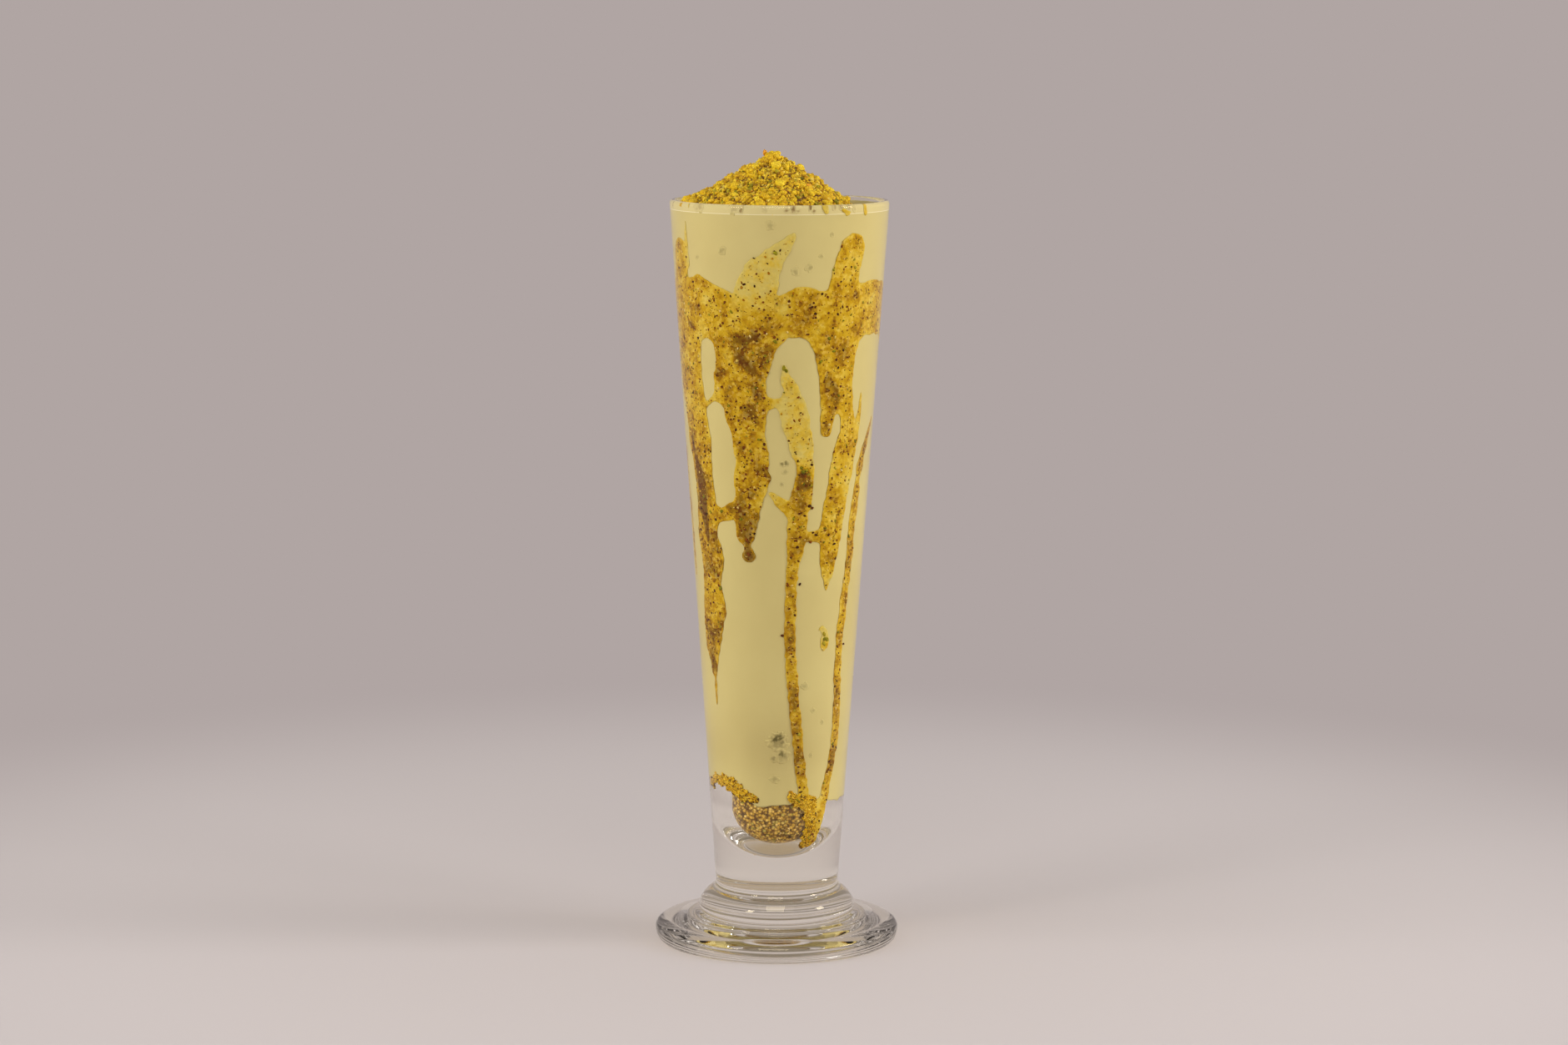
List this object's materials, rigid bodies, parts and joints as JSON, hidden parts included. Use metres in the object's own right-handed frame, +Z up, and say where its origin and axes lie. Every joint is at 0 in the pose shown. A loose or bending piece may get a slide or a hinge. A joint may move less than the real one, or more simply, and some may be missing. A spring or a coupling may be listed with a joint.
{
  "type": "pistachio lassi in a footed glass",
  "caption": "Tall footed glass of pale green lassi with pistachio sauce running down its inside, ground pistachio at the bottom and a heap of it on top.",
  "frame": {"origin": "centre of the foot's underside, on the surface that the glass stands on", "axes": "+Z up along the glass's axis, towards the lip; -Y towards the side with the open windows in the sauce, which is the front"},
  "size_m": [0.0766, 0.0766, 0.2477],
  "materials": {
    "clear_glass": "polished",
    "lassi": "smooth",
    "ground_pistachio": "granular",
    "pistachio_sauce": "smooth"
  },
  "bodies": {
    "root": {"glass": "clear_glass", "lassi": "lassi", "nut_base": "ground_pistachio", "nut_heap": "ground_pistachio"}
  },
  "joints": []
}
